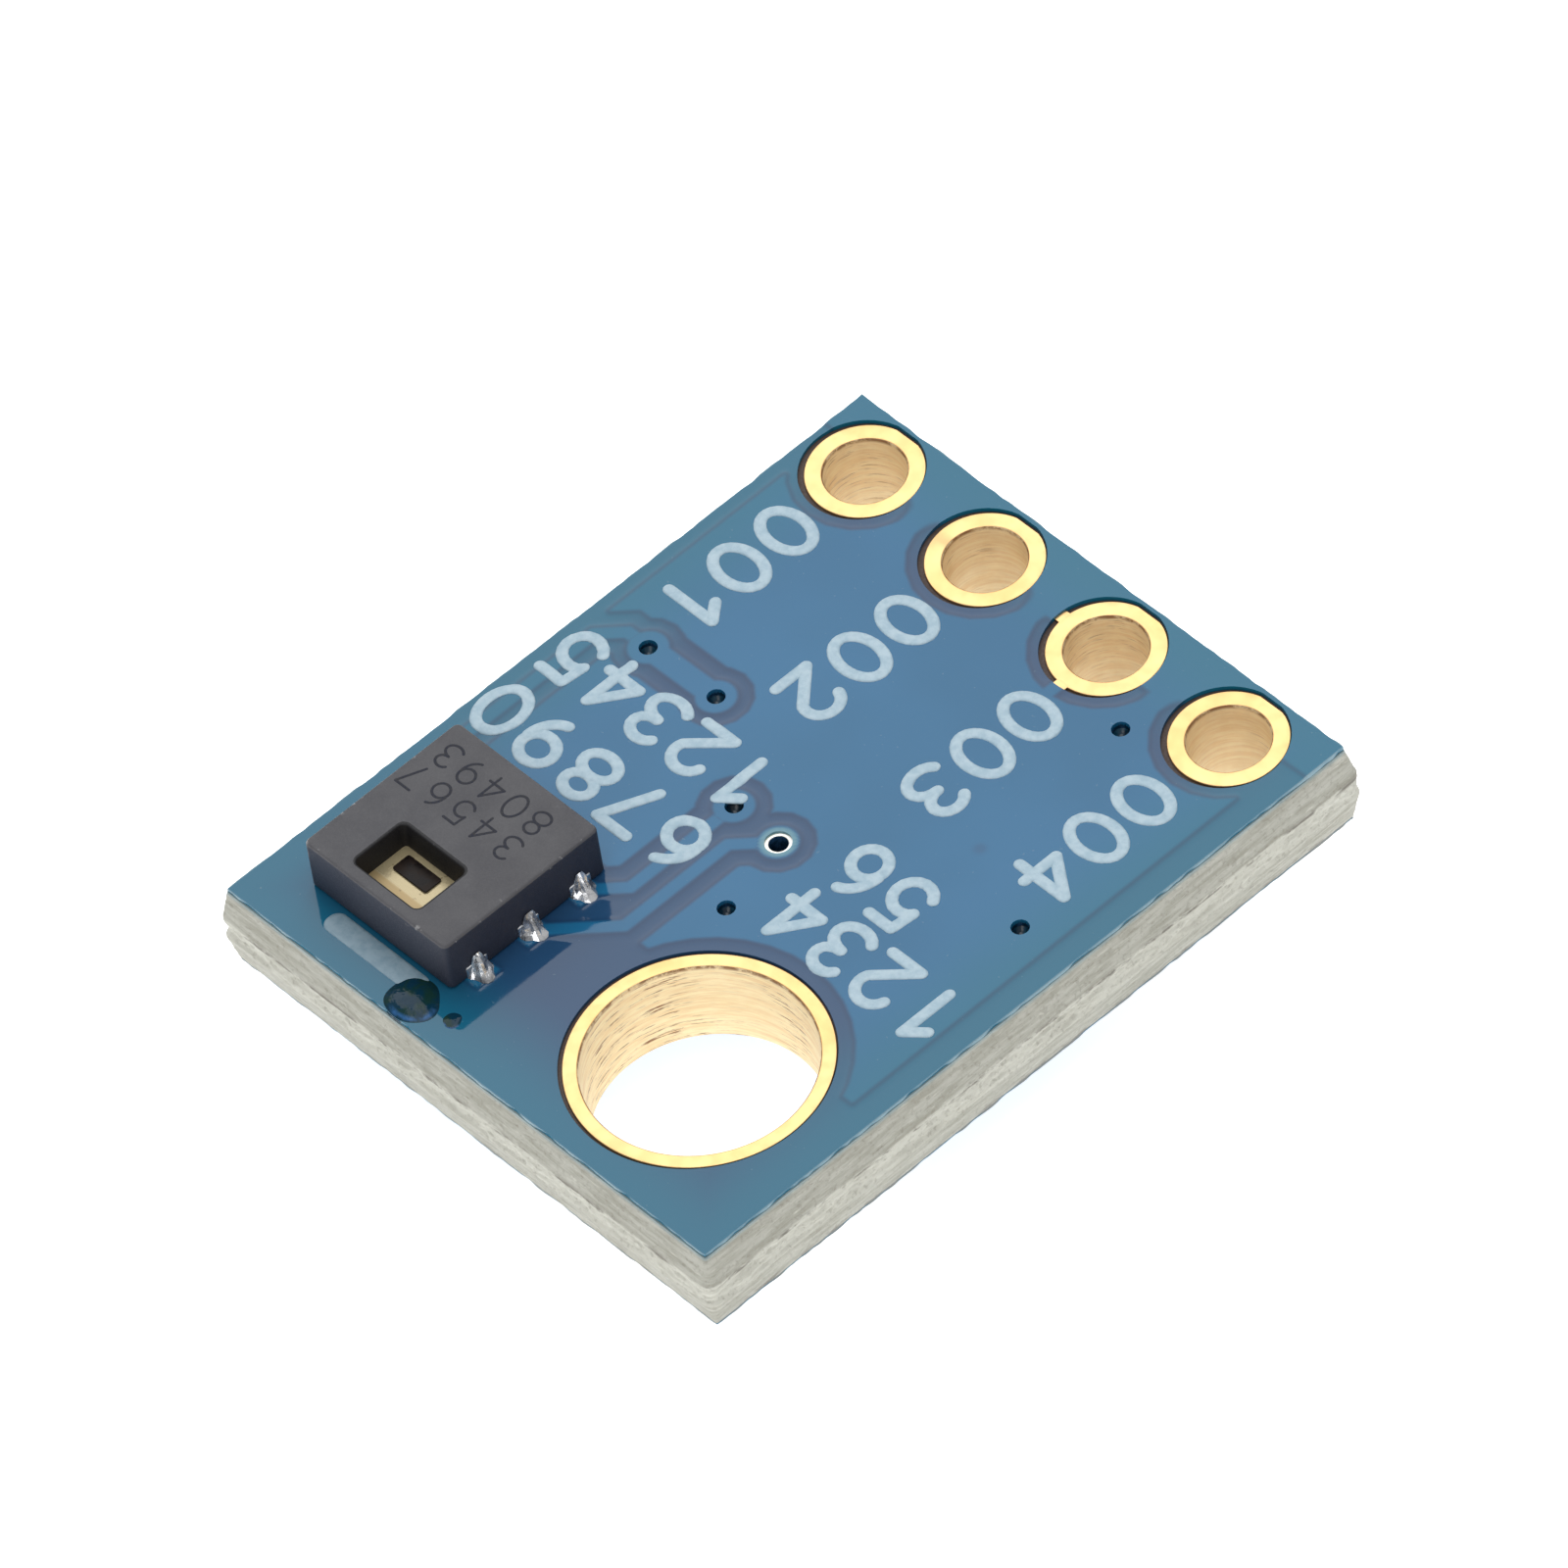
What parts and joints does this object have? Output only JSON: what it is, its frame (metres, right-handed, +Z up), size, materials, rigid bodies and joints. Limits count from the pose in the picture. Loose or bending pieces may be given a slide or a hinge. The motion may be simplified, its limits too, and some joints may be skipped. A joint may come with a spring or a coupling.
{
  "type": "temperature humidity sensor module",
  "caption": "Small blue breakout board with a windowed square sensor, a row of plated header holes and a plated mounting hole.",
  "frame": {"origin": "under the middle of the board's outline, at the lowest face of the parts on the underside", "axes": "+X across the board, +Y towards the header row, +Z up through the sensor's top"},
  "size_m": [0.0104, 0.0128, 0.0036],
  "materials": {
    "laminate": "glass-fibre laminate, rough where it was scored and broken",
    "solder_mask": "glossy blue solder mask",
    "copper": "copper foil under the mask",
    "gold": "gold-plated copper",
    "tin": "tinned leads",
    "solder": "bright solder",
    "package": "black moulding compound",
    "die": "metallised die",
    "film": "dark polymer film",
    "capacitor_ceramic": "brown capacitor ceramic",
    "resistor_ceramic": "white resistor substrate"
  },
  "bodies": {
    "root": {"laminate_board": "laminate", "solder_mask_top": "solder_mask", "solder_mask_under": "solder_mask", "ground_copper_top": "copper", "ground_copper_under": "copper", "data_track_top": "copper", "clock_track_top": "copper", "supply_track_top": "copper", "supply_track_under": "copper", "clock_track_under": "copper", "data_track_under": "copper", "input_track_under": "copper", "header_hole_1": "gold", "header_hole_2": "gold", "header_hole_3": "gold", "header_hole_4": "gold", "mounting_hole": "gold", "via_1": "gold", "via_2": "gold", "via_3": "gold", "via_4": "gold", "via_5": "gold", "via_6": "gold", "via_7": "gold", "sensor_body": "package", "sensor_die": "die", "humidity_film": "film", "sensor_paddle": "tin", "sensor_lead_1": "tin", "sensor_solder_1": "solder", "sensor_lead_2": "tin", "sensor_solder_2": "solder", "sensor_lead_3": "tin", "sensor_solder_3": "solder", "sensor_lead_4": "tin", "sensor_solder_4": "solder", "sensor_lead_5": "tin", "sensor_solder_5": "solder", "sensor_lead_6": "tin", "sensor_solder_6": "solder", "regulator_body": "package", "regulator_lead_1": "tin", "regulator_lead_2": "tin", "regulator_lead_3": "tin", "input_capacitor_body": "capacitor_ceramic", "input_capacitor_end_1": "solder", "input_capacitor_end_2": "solder", "output_capacitor_body": "capacitor_ceramic", "output_capacitor_end_1": "solder", "output_capacitor_end_2": "solder", "sensor_capacitor_body": "capacitor_ceramic", "sensor_capacitor_end_1": "solder", "sensor_capacitor_end_2": "solder", "clock_resistor_body": "resistor_ceramic", "clock_resistor_end_1": "solder", "clock_resistor_end_2": "solder", "data_resistor_body": "resistor_ceramic", "data_resistor_end_1": "solder", "data_resistor_end_2": "solder"}
  },
  "joints": []
}
